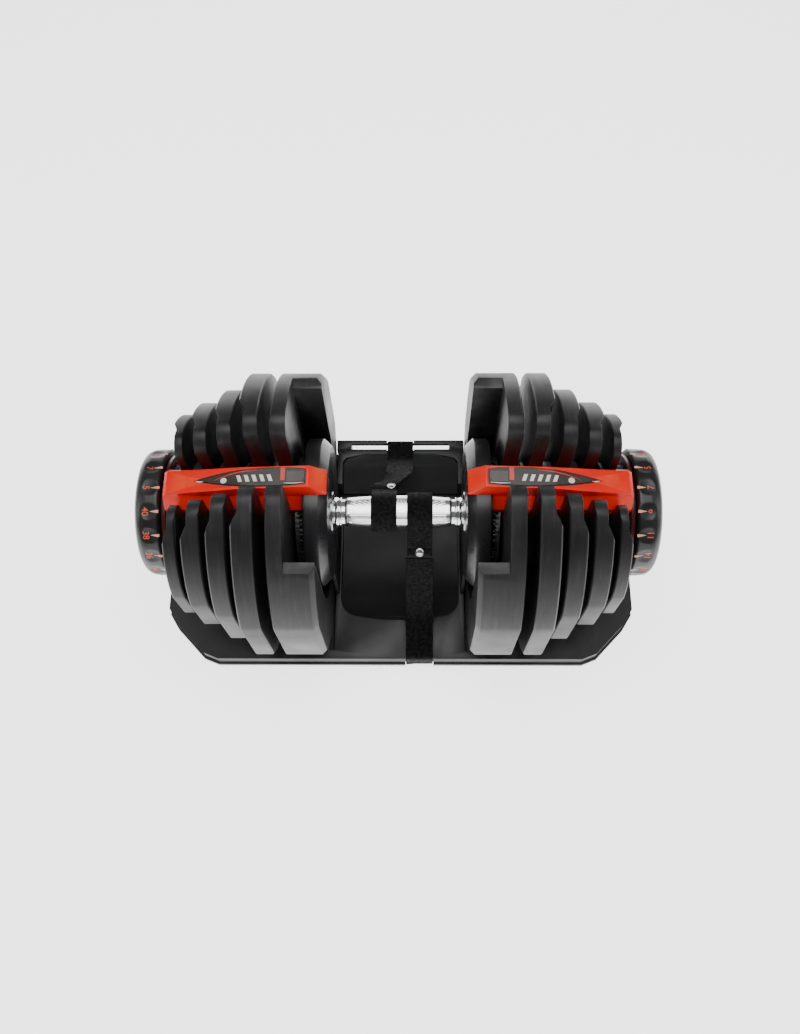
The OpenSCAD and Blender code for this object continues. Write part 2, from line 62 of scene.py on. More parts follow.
# The photograph looks down on the front from 68 degrees above the horizon
CAMERA_ELEVATION = radians(68.05)
CAMERA_DISTANCE = 0.8294
CAMERA_LENS = 33.23
CAMERA_DIP = radians(0.283)
CAMERA_SIDE = 0.014
CAMERA_PAN = radians(0.877)
AXIS = (Vector(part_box("handle_shaft")[0]) + Vector(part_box("handle_shaft")[1])) / 2


def add_camera():
    data = bpy.data.cameras.new("camera")
    data.lens = CAMERA_LENS
    data.sensor_width = 36
    camera = bpy.data.objects.new("camera", data)
    bpy.context.scene.collection.objects.link(camera)
    back = Vector((0, -cos(CAMERA_ELEVATION), sin(CAMERA_ELEVATION)))
    camera.location = AXIS + CAMERA_DISTANCE * back + Vector((CAMERA_SIDE, 0, 0))
    tilt = Matrix.Rotation(pi / 2 - CAMERA_ELEVATION - CAMERA_DIP, 3, "X")
    camera.rotation_euler = (tilt @ Matrix.Rotation(CAMERA_PAN, 3, "Y")).to_euler()
    bpy.context.scene.camera = camera


add_camera()


# ---- Materials ----------------------------------------------------------------------------


class Graph:
    """A Principled material with short calls for the nodes it uses."""

    def __init__(self, name, rough=0.5, metal=0.0, **sockets):
        self.material = bpy.data.materials.new(name)
        self.material.use_nodes = True
        self.tree = self.material.node_tree
        self.shader = self.tree.nodes["Principled BSDF"]
        self.shader.inputs["Roughness"].default_value = rough
        self.shader.inputs["Metallic"].default_value = metal
        for socket, value in sockets.items():
            self.shader.inputs[socket.replace("_", " ")].default_value = value
        self.place = self.node("ShaderNodeTexCoord").outputs["Object"]
        self.surface = None

    def node(self, kind, **values):
        made = self.tree.nodes.new(kind)
        for key, value in values.items():
            setattr(made, key, value)
        return made

    def link(self, source, target):
        self.tree.links.new(source, target)

    def stretched(self, scale):
        mapping = self.node("ShaderNodeMapping")
        mapping.inputs["Scale"].default_value = scale
        self.link(self.place, mapping.inputs["Vector"])
        return mapping.outputs["Vector"]

    def noise(self, scale, detail=3.0, vector=None):
        made = self.node("ShaderNodeTexNoise")
        made.inputs["Scale"].default_value = scale
        made.inputs["Detail"].default_value = detail
        self.link(vector or self.place, made.inputs["Vector"])
        return made.outputs["Fac"]

    def cells(self, scale, vector=None):
        made = self.node("ShaderNodeTexVoronoi")
        made.inputs["Scale"].default_value = scale
        self.link(vector or self.place, made.inputs["Vector"])
        return made.outputs["Distance"]

    def ramp(self, factor, low, high, start=0.3, end=0.7):
        made = self.node("ShaderNodeMapRange")
        made.inputs["From Min"].default_value = start
        made.inputs["From Max"].default_value = end
        made.inputs["To Min"].default_value = low
        made.inputs["To Max"].default_value = high
        self.link(factor, made.inputs["Value"])
        return made.outputs["Result"]

    def math(self, kind, a, b=None):
        made = self.node("ShaderNodeMath", operation=kind)
        for i, value in enumerate([a] if b is None else [a, b]):
            if isinstance(value, (int, float)):
                made.inputs[i].default_value = value
            else:
                self.link(value, made.inputs[i])
        return made.outputs[0]

    def blend(self, factor, a, b):
        made = self.node("ShaderNodeMix", data_type="RGBA")
        self.link(factor, made.inputs["Factor"])
        for name, value in (("A", a), ("B", b)):
            socket = [s for s in made.inputs if s.name == name and s.type == "RGBA"][0]
            if isinstance(value, tuple):
                socket.default_value = (*value, 1)
            else:
                self.link(value, socket)
        return [s for s in made.outputs if s.type == "RGBA"][0]

    def colour(self, value):
        if isinstance(value, tuple):
            self.shader.inputs["Base Color"].default_value = (*value, 1)
        else:
            self.link(value, self.shader.inputs["Base Color"])

    def rough(self, value):
        self.link(value, self.shader.inputs["Roughness"])

    def bump(self, height, strength, depth):
        made = self.node("ShaderNodeBump")
        made.inputs["Strength"].default_value = strength
        made.inputs["Distance"].default_value = depth
        self.link(height, made.inputs["Height"])
        if self.surface:
            self.link(self.surface, made.inputs["Normal"])
        self.surface = made.outputs["Normal"]
        self.link(self.surface, self.shader.inputs["Normal"])

    def worn_edges(self, base, worn_and_highlit_tone, start=0.52, end=0.62):
        """Lightens the colour where the surface is sharply convex: rubbed wear and a painted edge
        highlight.
        """
        edge = self.ramp(self.node("ShaderNodeNewGeometry").outputs["Pointiness"], 0, 1, start, end)
        patchy_wear_and_highlight = self.math("MULTIPLY", edge, self.ramp(self.noise(60), 0.2, 1))
        return self.blend(patchy_wear_and_highlight, base, worn_and_highlit_tone)


def moulded(name, dark, light, rough, grain=900, depth=0.00008, **sockets):
    """Moulded plastic: a cloudy tone, a fine grain, slightly uneven gloss and edges lightened as wear
    and as a painted highlight.
    """
    g = Graph(name, rough, **sockets)
    # Painted edge highlight: sharp edges are lightened to 1.6 times the light tone, partly rubbed wear
    # and partly standing in for light catching them.
    g.colour(g.worn_edges(g.blend(g.ramp(g.noise(9), 0, 1), dark, light), tuple(1.6 * c for c in light)))
    g.rough(g.ramp(g.noise(35), rough - 0.05, rough + 0.07))
    g.bump(g.noise(grain, 2), 0.35, depth)
    return g.material


def coated_iron():
    """Satin powder coat over cast iron: orange peel, soft waves and rubbed edges, the edges lightened as
    wear and as a painted edge highlight.
    """
    g = Graph("coated_iron", 0.5, Specular_IOR_Level=0.34)
    tone = g.blend(g.ramp(g.noise(14), 0, 1), (0.0085, 0.0082, 0.009), (0.0145, 0.014, 0.0155))
    streaks = g.ramp(g.noise(90, 4, g.stretched((3, 0.35, 0.35))), 0, 1, 0.5, 0.75)
    tone = g.blend(streaks, tone, (0.022, 0.0215, 0.0235))
    # Painted edge highlight: sharp edges are lightened to a pale grey, partly rubbed wear and partly
    # standing in for light catching the edges.
    g.colour(g.worn_edges(tone, (0.11, 0.11, 0.115)))
    g.rough(g.ramp(g.noise(24, 5), 0.38, 0.54))
    g.bump(g.noise(70, 2), 0.15, 0.0006)
    g.bump(g.cells(1500), 0.22, 0.00008)
    return g.material


def metal(name, tone, rough, brush=0.0):
    g = Graph(name, rough, 1.0)
    g.colour(g.blend(g.ramp(g.noise(30), 0, 1), tuple(0.93 * c for c in tone), tone))
    g.rough(g.ramp(g.noise(120, 4), rough * 0.8, rough * 1.3))
    if brush:
        g.bump(g.noise(600, 2, g.stretched((brush, 1, 1))), 0.12, 0.00005)
    return g.material


def red_gloss():
    g = Graph("red_gloss", 0.3, Coat_Weight=0.06, Coat_Roughness=0.1, Specular_IOR_Level=0.22)
    tone = g.blend(g.ramp(g.noise(11), 0, 1), (0.84, 0.0015, 0.0005), (0.95, 0.005, 0.001))
    # Painted edge highlight: sharp edges turn a brighter orange-red, standing in for light catching
    # them, with a little rubbed wear.
    g.colour(g.worn_edges(tone, (1.0, 0.10, 0.03), 0.51, 0.58))
    g.rough(g.ramp(g.noise(40), 0.26, 0.36))
    g.bump(g.noise(260, 2), 0.06, 0.0002)
    return g.material


def woven_nylon():
    """Twill webbing: rows across the strap, each shifted a little from the last, with its raised threads
    painted lighter as glints.
    """
    g = Graph("woven_nylon", 0.8, Specular_IOR_Level=0.14)
    split = g.node("ShaderNodeSeparateXYZ")
    g.link(g.node("ShaderNodeTexCoord").outputs["UV"], split.inputs[0])
    along, across = split.outputs["X"], split.outputs["Y"]
    rows = g.math("SINE", g.math("MULTIPLY", g.math("ADD", along, across), tau / 0.0034))
    threads = g.math("SINE", g.math("MULTIPLY", g.math("SUBTRACT", along, across), tau / 0.0024))
    weave = g.math("MULTIPLY", g.math("ABSOLUTE", rows), g.math("ABSOLUTE", threads))
    # Painted glints: where the weave peaks, specks are painted lighter in the colour, standing in for
    # light catching the threads.
    painted_weave_glint = g.math("MULTIPLY", g.ramp(weave, 0, 1, 0.45, 0.95), g.ramp(g.noise(420, 2), 0.1, 1, 0.4, 0.6))
    g.colour(g.blend(painted_weave_glint, (0.0025, 0.0025, 0.003), (0.052, 0.049, 0.053)))
    g.rough(g.ramp(g.noise(300), 0.65, 0.9))
    g.bump(weave, 0.9, 0.0004)
    return g.material


def printed(name, dark, light, rough=0.4):
    g = Graph(name, rough)
    g.colour(g.blend(g.ramp(g.noise(90), 0, 1), dark, light))
    g.bump(g.noise(1400, 2), 0.15, 0.00004)
    return g.material


MATERIALS = {
    "tray_plastic": moulded("tray_grain", (0.0065, 0.0065, 0.0075), (0.012, 0.012, 0.0135), 0.46),
    "foot_rubber": moulded("rubber_grain", (0.008, 0.008, 0.008), (0.015, 0.015, 0.015), 0.8,
                           500, 0.0002),
    "webbing": woven_nylon(),
    "snap_metal": metal("snap_plating", (0.82, 0.82, 0.83), 0.12),
    "plate_coating": coated_iron(),
    "grip_chrome": metal("bright_chrome", (0.95, 0.955, 0.96), 0.15),
    "shaft_steel": metal("turned_steel", (0.55, 0.55, 0.57), 0.28, 0.05),
    "end_plate_black": moulded("end_plate_gloss", (0.009, 0.009, 0.010), (0.018, 0.018, 0.020), 0.3),
    "spine_red": red_gloss(),
    "label_print": printed("label_black", (0.010, 0.009, 0.009), (0.018, 0.016, 0.016), 0.3),
    # Painted shade: the red collar between the dial and the plates is coloured a dark maroon for the
    # shade it sits in.
    "collar_dark": moulded("collar_red_painted_shade", (0.035, 0.003, 0.002), (0.06, 0.005, 0.004), 0.3),
    "zinc_steel": metal("zinc_plate", (0.6, 0.61, 0.62), 0.3, 0.2),
    "disc_plastic": moulded("disc_grain", (0.02, 0.02, 0.021), (0.035, 0.035, 0.036), 0.4),
    "dial_black": moulded("dial_satin", (0.008, 0.008, 0.009), (0.014, 0.014, 0.015), 0.36,
                          1300, 0.00004),
}
RING_DARK = moulded("lock_ring_black", (0.008, 0.008, 0.009), (0.016, 0.016, 0.017), 0.3)
SLOT_OF = {s["node"]: s["material_slot"] for s in frame["record"]["subparts"]}
BODY_OF = {n: b for b, nodes in frame["record"]["behaviour"]["bodies"].items() for n in nodes}


# ---- Mesh helpers -------------------------------------------------------------------------


def linked(name, mesh):
    piece = bpy.data.objects.new(name, mesh)
    bpy.context.scene.collection.objects.link(piece)
    return piece


def from_faces(name, points, faces):
    mesh = bpy.data.meshes.new(name)
    mesh.from_pydata([tuple(p) for p in points], [], faces)
    mesh.validate()
    return linked(name, mesh)


def smooth(piece, angle=35):
    piece.data.polygons.foreach_set("use_smooth", [True] * len(piece.data.polygons))
    piece.data.set_sharp_from_angle(angle=radians(angle))


def baked(piece):
    """Applies the piece's modifiers to its mesh."""
    bpy.context.view_layer.update()
    ready = piece.evaluated_get(bpy.context.evaluated_depsgraph_get())
    old = piece.data
    piece.data = bpy.data.meshes.new_from_object(ready)
    piece.modifiers.clear()
    bpy.data.meshes.remove(old)
    return piece


def settle(piece, node, slot=None, replaces=True):
    """Gives a new piece the body, slot and material of the CAD node that it belongs to."""
    slot = slot or SLOT_OF[node]
    piece.data.materials.clear()
    piece.data.materials.append(MATERIALS[slot])
    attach(piece, BODY_OF[node])
    if replaces:
        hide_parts(node)
    return piece


def softened(node, width, segments=2, angle=28):
    """A copy of a CAD node with its facets merged and its edges rounded."""
    piece = linked(node + "_rounded", frame["nodes"][node].data.copy())
    work = bmesh.new()
    work.from_mesh(piece.data)
    bmesh.ops.remove_doubles(work, verts=work.verts, dist=0.00001)
    bmesh.ops.dissolve_limit(work, angle_limit=radians(0.6), verts=work.verts, edges=work.edges)
    work.to_mesh(piece.data)
    work.free()
    bevel = piece.modifiers.new("round", "BEVEL")
    bevel.width = width
    bevel.segments = segments
    bevel.limit_method = "ANGLE"
    bevel.angle_limit = radians(angle)
    bevel.harden_normals = False
    baked(piece)
    smooth(piece)
    return settle(piece, node)



# ---- Turned pieces ------------------------------------------------------------------------

SETTINGS = [5, 7, 9, 11, 14, 16, 18, 20, 23, 25, 27, 29, 32, 34, 36, 38, 40]
STEP = tau / len(SETTINGS)
REST_SETTING = {"right": 1, "left": 0}
DIAL_R = (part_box("dial_right")[1][2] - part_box("dial_right")[0][2]) / 2
DIAL_X0, DIAL_X1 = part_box("dial_right")[0][0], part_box("dial_right")[1][0]


def turned_about(side, points):
    """The left side is the right side turned half way round the upright axis."""
    sign = SIDES[side]
    return [(sign * x, sign * y, z) for x, y, z in points]


def on_bar(x, angle, radius):
    """A point round the bar: angle 0 is the top, and it grows towards the front."""
    return (x, -radius * sin(angle), AXIS.z + radius * cos(angle))


def eased(profile, reach, steps=4):
    """A closed outline of (radius, x) points with each corner turned into a short curve."""
    smooth_line = []
    for i, point in enumerate(profile):
        here, before = Vector(point), Vector(profile[i - 1])
        after = Vector(profile[(i + 1) % len(profile)])
        a = here + (before - here) * min(0.45, reach / max((before - here).length, 1e-6))
        b = here + (after - here) * min(0.45, reach / max((after - here).length, 1e-6))
        for s in range(steps + 1):
            t = s / steps
            smooth_line.append((1 - t) ** 2 * a + 2 * t * (1 - t) * here + t * t * b)
    return smooth_line


def refined(profile, step):
    """A closed outline with extra points, so that none are more than a step apart."""
    fine = []
    for i, here in enumerate(profile):
        there = profile[(i + 1) % len(profile)]
        count = max(1, ceil((there - here).length / step))
        fine += [here.lerp(there, j / count) for j in range(count)]
    return fine


def lathed(name, profile, side, steps, shape=None):
    """Turns a closed outline round the bar. shape(angle, radius, x) may change each radius."""
    points = []
    for radius, x in profile:
        for i in range(steps):
            angle = tau * i / steps
            points.append(on_bar(x, angle, shape(angle, radius, x) if shape else radius))
    rings = len(profile)
    faces = [
        (r * steps + i, r * steps + (i + 1) % steps,
         (r + 1) % rings * steps + (i + 1) % steps, (r + 1) % rings * steps + i)
        for r in range(rings) for i in range(steps)
    ]
    piece = from_faces(name, turned_about(side, points), faces)
    outward(piece)
    return piece


def outward(piece):
    work = bmesh.new()
    work.from_mesh(piece.data)
    bmesh.ops.recalc_face_normals(work, faces=work.faces)
    work.to_mesh(piece.data)
    work.free()


# ---- Dials --------------------------------------------------------------------------------

SCOOP_X = 204.5 * MM
SCOOP_R = 30 * MM
SCOOP_DEPTH = 1.3 * MM
NUMBER_TALL = 5.4 * MM
NUMBER_BASE = 208.6 * MM
# Stations of a pointer as (x, half width), and its section as (share of the half width, raised), in mm
POINTER = [(194.95, 1.0), (196.3, 1.4), (198.2, 1.2), (200.2, 0.7), (202.4, 0.12)]
POINTER_SECTION = [(-1, -0.2), (-0.55, 0.22), (0, 0.3), (0.55, 0.22), (1, -0.2)]
POINTER_SUNK = 0.5 * MM


def dial_surface(rest):
    """The radius of the dial's outer face, with a shallow scoop at each number."""
    centre = DIAL_R - SCOOP_DEPTH + SCOOP_R

    def radius_at(angle, radius, x):
        if radius < DIAL_R - 8 * MM:
            return radius
        off = (angle + rest * STEP) % STEP
        off = min(off, STEP - off)
        inside = SCOOP_R ** 2 - (x - SCOOP_X) ** 2 - (centre * sin(off)) ** 2
        return min(radius, centre * cos(off) - sqrt(inside)) if inside > 0 else radius

    return radius_at


def glyph_mesh(text):
    """The strokes of a number as a thin solid, (across, up, raised), centred on its baseline."""
    curve = bpy.data.curves.new("number", "FONT")
    curve.body = text
    curve.size = NUMBER_TALL / 0.72
    curve.align_x = "CENTER"
    curve.extrude = 0.13 * MM
    curve.offset = 0.08 * MM
    source = linked("number", curve)
    bpy.context.view_layer.update()
    mesh = bpy.data.meshes.new_from_object(source.evaluated_get(bpy.context.evaluated_depsgraph_get()))
    bpy.data.objects.remove(source)
    work = bmesh.new()
    work.from_mesh(mesh)
    bmesh.ops.remove_doubles(work, verts=work.verts, dist=0.00001)
    for _ in range(2):
        long_edges = [e for e in work.edges if e.calc_length() > 1.3 * MM]
        if long_edges:
            bmesh.ops.subdivide_edges(work, edges=long_edges, cuts=1)
            bmesh.ops.triangulate(work, faces=work.faces)
    points = [tuple(v.co) for v in work.verts]
    work.verts.index_update()
    faces = [tuple(v.index for v in f.verts) for f in work.faces]
    work.free()
    bpy.data.meshes.remove(mesh)
    return points, faces


def add_dial(side):
    rest = REST_SETTING[side]
    surface = dial_surface(rest)
    r = DIAL_R
    x0, x1 = DIAL_X0, DIAL_X1
    bore = 16.2 * MM
    outline = [
        (bore, x0), (r - 2 * MM, x0), (r, x0 + 2 * MM), (r, x1 - 9.2 * MM), (r - 1 * MM, x1 - 5.2 * MM),
        (r - 2.8 * MM, x1 - 2.2 * MM), (r - 6 * MM, x1), (43 * MM, x1), (40 * MM, x1 - 4.2 * MM),
        (22.1 * MM, x1 - 4.2 * MM), (22.1 * MM, x1 - 12.6 * MM), (bore, x1 - 12.6 * MM)
    ]
    fine = refined(eased([Vector(p) for p in outline], 1.2 * MM), 1.4 * MM)
    piece = lathed(f"dial_{side}_scooped", fine, side, 17 * 24, surface)
    smooth(piece, 24)
    settle(piece, f"dial_{side}")
    points, faces = [], []
    for n, number in enumerate(SETTINGS):
        middle = (n - rest) * STEP
        glyph, cells = glyph_mesh(str(number))
        base = len(points)
        for u, v, raised in glyph:
            x = NUMBER_BASE - v
            angle = middle - u / r
            points.append(on_bar(x, angle, surface(angle, r, x) + raised))
        faces += [tuple(base + i for i in cell) for cell in cells]
    numbers = from_faces(f"dial_{side}_numbers", turned_about(side, points), faces)
    settle(numbers, f"dial_{side}", "label_print", False)
    numbers.data.materials[0] = NUMBER_RED
    points, faces = [], []
    for n in range(len(SETTINGS)):
        middle = (n - rest) * STEP
        base = len(points)
        for x, half in POINTER:
            x *= MM
            sunk = POINTER_SUNK if x < x0 + 1.4 * MM else 0
            for across, raised in POINTER_SECTION:
                angle = middle + across * half * MM / r
                points.append(on_bar(x, angle, surface(angle, r, x) + raised * MM - sunk))
        for i in range(len(POINTER) - 1):
            for j in range(4):
                k = base + 5 * i + j
                faces.append((k, k + 1, k + 6, k + 5))
    marks = from_faces(f"dial_{side}_pointers", turned_about(side, points), faces)
    smooth(marks, 60)
    settle(marks, f"dial_{side}", "label_print", False)
    marks.data.materials[0] = POINTER_PALE


NUMBER_RED = printed("number_red", (0.62, 0.075, 0.045), (0.78, 0.11, 0.065), 0.45)
POINTER_PALE = printed("pointer_pale", (0.86, 0.36, 0.22), (0.95, 0.52, 0.36), 0.4)


# ---- Grip ---------------------------------------------------------------------------------

GRIP_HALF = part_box("handle_grip")[1][0]
GRIP_MID_R = (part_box("handle_grip")[1][2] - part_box("handle_grip")[0][2]) / 2
GRIP_END_R = 13 * MM
SHAFT_R = (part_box("handle_shaft")[1][2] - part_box("handle_shaft")[0][2]) / 2
KNURL = 1.25 * MM
KNURL_DEEP = 0.16 * MM


FLAT_TURN = radians(6.5)
FLAT_WIDE = radians(67.5)
GROOVE_DEEP = 0.4 * MM


def grip_surface(angle, radius, x):
    """Four broad knurled flats with a narrow chamfer between each two, a groove along each edge."""
    if radius < SHAFT_R + 1.5 * MM:
        return radius
    off = abs((angle - FLAT_TURN + pi / 4) % (pi / 2) - pi / 4)
    beyond = off - FLAT_WIDE / 2
    if beyond < 0:
        flat = radius * cos(FLAT_WIDE / 2) / cos(off)
    else:
        narrow = pi / 4 - FLAT_WIDE / 2
        flat = radius * cos(narrow) / cos(narrow - beyond)
    body = 0.5 * flat + 0.5 * radius
    span = min(1, max(0, (GRIP_HALF - 4.5 * MM - abs(x)) / (0.8 * MM)))
    body -= GROOVE_DEEP * span * max(0, 1 - abs(beyond) / 0.035)
    panel = span * min(1, max(0, (-beyond - 0.09) / 0.04))
    a, b = angle * radius / KNURL, x / KNURL
    return body - KNURL_DEEP * panel * abs(sin(pi / 2 * (a + b))) * abs(sin(pi / 2 * (a - b)))


def add_grip():
    half, inner = GRIP_HALF, SHAFT_R + 0.05 * MM
    top = [(inner, -half), (GRIP_END_R - 0.8 * MM, -half), (GRIP_END_R, -half + 1.6 * MM)]
    reach = half - 1.6 * MM
    for i in range(1, 140):
        x = -reach + 2 * reach * i / 140
        t = x / reach
        top.append((GRIP_MID_R + (GRIP_END_R - GRIP_MID_R) * t * t, x))
    top += [(GRIP_END_R, half - 1.6 * MM), (GRIP_END_R - 0.8 * MM, half), (inner, half)]
    piece = lathed("handle_grip_knurled", [Vector(p) for p in top], "right", 320, grip_surface)
    smooth(piece, 50)
    settle(piece, "handle_grip")


def add_collars():
    for side in SIDES:
        x0, x1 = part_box("grip_collar_right")[0][0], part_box("grip_collar_right")[1][0]
        inner = SHAFT_R + 0.05 * MM
        flare = [(12.6 + 5.4 * (i / 12) ** 2.4, i / 12) for i in range(13)]
        outline = [(inner, x0), (11.4 * MM, x0), (11.4 * MM, x0 + 2.6 * MM), (13 * MM, x0 + 3 * MM),
                   (13.4 * MM, x0 + 3.8 * MM), (12.8 * MM, x0 + 4.6 * MM)]
        start = x0 + 5 * MM
        outline += [(r * MM, start + (x1 - 0.9 * MM - start) * t) for r, t in flare]
        outline += [(18 * MM, x1), (inner, x1)]
        piece = lathed(f"grip_collar_{side}_flared", [Vector(p) for p in outline], side, 96)
        smooth(piece, 40)
        settle(piece, f"grip_collar_{side}")


# ---- Label on each spine ------------------------------------------------------------------

RIDGE = [(57, 66), (70.5, 77.5), (125, 73.5), (187, 63.5)]
LABEL_TIP, LABEL_BLUNT, LABEL_MID, LABEL_HALF = 164.5, 72.5, 102, 8.3


def ridge_z(x):
    for (xa, za), (xb, zb) in zip(RIDGE, RIDGE[1:]):
        if xa <= x <= xb:
            return za + (zb - za) * (x - xa) / (xb - xa)
    return RIDGE[-1][1]


def label_half(x, inset=0.0):
    reach = LABEL_TIP - LABEL_MID - 4 * inset
    half = LABEL_HALF - inset
    return half * max(0.02, 1 - ((x - LABEL_MID) / reach) ** 2)


def strip(stations, proud):
    """A thin raised shape on the ridge, from (x, low y, high y) stations in mm."""
    points, faces = [], []
    for x, low, high in stations:
        z = AXIS.z / MM + ridge_z(x) + 0.4
        points += [(x, low, z - 0.15), (x, low, z + proud), (x, high, z + proud), (x, high, z - 0.15)]
    for i in range(len(stations) - 1):
        for j in range(3):
            k = 4 * i + j
            faces.append((k, k + 4, k + 5, k + 1))
    last = 4 * (len(stations) - 1)
    faces += [(0, 1, 2, 3), (last + 3, last + 2, last + 1, last)]
    return points, faces


def spread(x0, x1, count):
    return [x0 + (x1 - x0) * i / count for i in range(count + 1)]


def slanted(x, low, high, width, lean):
    """Stations of a leaning bar."""
    tilt = lean * (high - low)
    return [(x, low, low + 0.02), (x + tilt, low, high), (x + width, low, high),
            (x + width + tilt, high - 0.02, high)]


def label_art():
    """Shapes by material: a panel, a bar, a curve, slivers and plain slanted bars."""
    xs = spread(LABEL_BLUNT + 1.2, LABEL_TIP - 4, 46)
    panel = [(x, -label_half(x, 0.9), label_half(x, 0.9)) for x in xs]
    art = {"panel": [(panel, 0.04)], "grey": [], "red": [], "white": []}
    art["grey"].append(([(x, -0.8 - 3.6 * (x > 74), 4.4) for x in spread(73.9, 88, 8)], 0.09))
    art["red"].append(([(x, -3.2, label_half(x) - 0.3) for x in spread(89.4, 93, 3)], 0.16))
    swoosh = []
    for x in spread(112, 147, 26):
        t = (x - 112) / 35
        y = 6.2 - 7.2 * t ** 2.4
        swoosh.append((x, y - 0.15 - 0.75 * sin(pi * t), y))
    art["red"].append((swoosh, 0.12))
    art["white"].append(([(x, -label_half(x) * 0.55 - 0.05 - 0.8 * sin(pi * (x - 156) / 6.5),
                           -label_half(x) * 0.55 + 0.05) for x in spread(156, 162.5, 8)], 0.14))
    sliver = [(x, -5.6 - 0.2 - 0.5 * sin(pi * (x - 74) / 16), -5.6) for x in spread(74, 90, 10)]
    art["white"].append((sliver, 0.14))
    for i in range(5):
        art["white"].append((slanted(99 + 6.2 * i, -3.6, 2.2, 3.1, 0.35), 0.14))
    dot = [(136.5 + 2.6 * (1 - cos(pi * k / 10)), 0.02 + 2.4 * sin(pi * k / 10)) for k in range(11)]
    art["white"].append(([(x, -1.6 - w, -1.6 + w) for x, w in dot], 0.14))
    return art


LABEL_FINISH = {
    "panel": printed("label_brown", (0.030, 0.024, 0.020), (0.050, 0.040, 0.033), 0.34),
    "grey": printed("label_grey", (0.075, 0.062, 0.055), (0.105, 0.088, 0.078), 0.36),
    "red": printed("label_red", (0.60, 0.05, 0.03), (0.74, 0.08, 0.05), 0.36),
    "white": printed("label_white", (0.80, 0.78, 0.75), (0.90, 0.88, 0.85), 0.4),
}


def add_label_art(side):
    for finish, shapes in label_art().items():
        points, faces = [], []
        for stations, proud in shapes:
            made, cells = strip(stations, proud)
            faces += [tuple(len(points) + i for i in cell) for cell in cells]
            points += [(x * MM, y * MM, z * MM) for x, y, z in made]
        mirrored = [(SIDES[side] * x, y, z) for x, y, z in points]
        piece = from_faces(f"spine_label_{side}_{finish}", mirrored, faces)
        outward(piece)
        settle(piece, f"spine_label_{side}", None, False)
        piece.data.materials[0] = LABEL_FINISH[finish]


# ---- Strap --------------------------------------------------------------------------------

STRAP_W = 25 * MM
STRAP_T = 1.6 * MM


def curved(points, count):
    """Evenly spaced points on a smooth line through the given ones."""
    path = [points[0]] + points + [points[-1]]
    dense = []
    for i in range(1, len(path) - 2):
        p0, p1, p2, p3 = path[i - 1:i + 3]
        for s in range(24):
            t = s / 24
            dense.append(0.5 * (2 * p1 + (p2 - p0) * t + (2 * p0 - 5 * p1 + 4 * p2 - p3) * t * t
                                + (3 * p1 - p0 - 3 * p2 + p3) * t ** 3))
    dense.append(path[-2])
    lengths = [0]
    for a, b in zip(dense, dense[1:]):
        lengths.append(lengths[-1] + (b - a).length)
    even, j = [], 0
    for k in range(count + 1):
        want = lengths[-1] * k / count
        while j < len(dense) - 2 and lengths[j + 1] < want:
            j += 1
        span = max(lengths[j + 1] - lengths[j], 1e-9)
        even.append(dense[j].lerp(dense[j + 1], min(1, (want - lengths[j]) / span)))
    return even, lengths[-1]


def ribbon(name, path, width, count, across=None, crown=0.12 * MM):
    """Webbing along a path: a flat band with rounded edges, its UVs in metres."""
    line, length = curved([Vector(p) for p in path], count)
    edge = STRAP_T / 2
    section = [(-width / 2 + edge * 0.5, -edge), (0, -edge), (width / 2 - edge * 0.5, -edge),
               (width / 2, -edge * 0.5), (width / 2, edge * 0.5), (width / 2 - edge * 0.5, edge),
               (width / 4, edge + crown * 0.6), (0, edge + crown), (-width / 4, edge + crown * 0.6),
               (-width / 2 + edge * 0.5, edge), (-width / 2, edge * 0.5), (-width / 2, -edge * 0.5)]
    points = []
    for i, here in enumerate(line):
        ahead = (line[min(i + 1, count)] - line[max(i - 1, 0)]).normalized()
        side = (across(i / count) if across else Vector((1, 0, 0)))
        side = (side - ahead * side.dot(ahead)).normalized()
        up = side.cross(ahead)
        points += [here + side * u + up * v for u, v in section]
    size = len(section)
    faces = [(i * size + j, i * size + (j + 1) % size,
              (i + 1) * size + (j + 1) % size, (i + 1) * size + j)
             for i in range(count) for j in range(size)]
    faces += [tuple(range(size))[::-1], tuple(count * size + j for j in range(size))]
    piece = from_faces(name, points, faces)
    layer = piece.data.uv_layers.new(name="weave")
    for face in piece.data.polygons:
        for loop, vertex in zip(face.loop_indices, face.vertices):
            layer.data[loop].uv = (vertex // size / count * length, section[vertex % size][0])
    outward(piece)
    smooth(piece, 40)
    return piece


def stitches(name, spots, node, slot="webbing"):
    """Short raised threads, each from one point to another with a normal."""
    points, faces = [], []
    for a, b, normal in spots:
        along = (b - a).normalized()
        side = normal.cross(along) * 0.28 * MM
        base = len(points)
        for t, lift in ((0, -0.1), (0.25, 0.3), (0.75, 0.3), (1, -0.1)):
            here = a.lerp(b, t) + normal * lift * MM
            points += [here - side, here + normal * 0.12 * MM, here + side]
        for i in range(3):
            for j in range(2):
                k = base + 3 * i + j
                faces.append((k, k + 1, k + 4, k + 3))
    piece = from_faces(name, points, faces)
    smooth(piece, 70)
    settle(piece, node, slot, False)
    piece.data.materials[0] = THREAD
    return piece


THREAD = printed("strap_thread", (0.02, 0.02, 0.021), (0.045, 0.045, 0.047), 0.6)


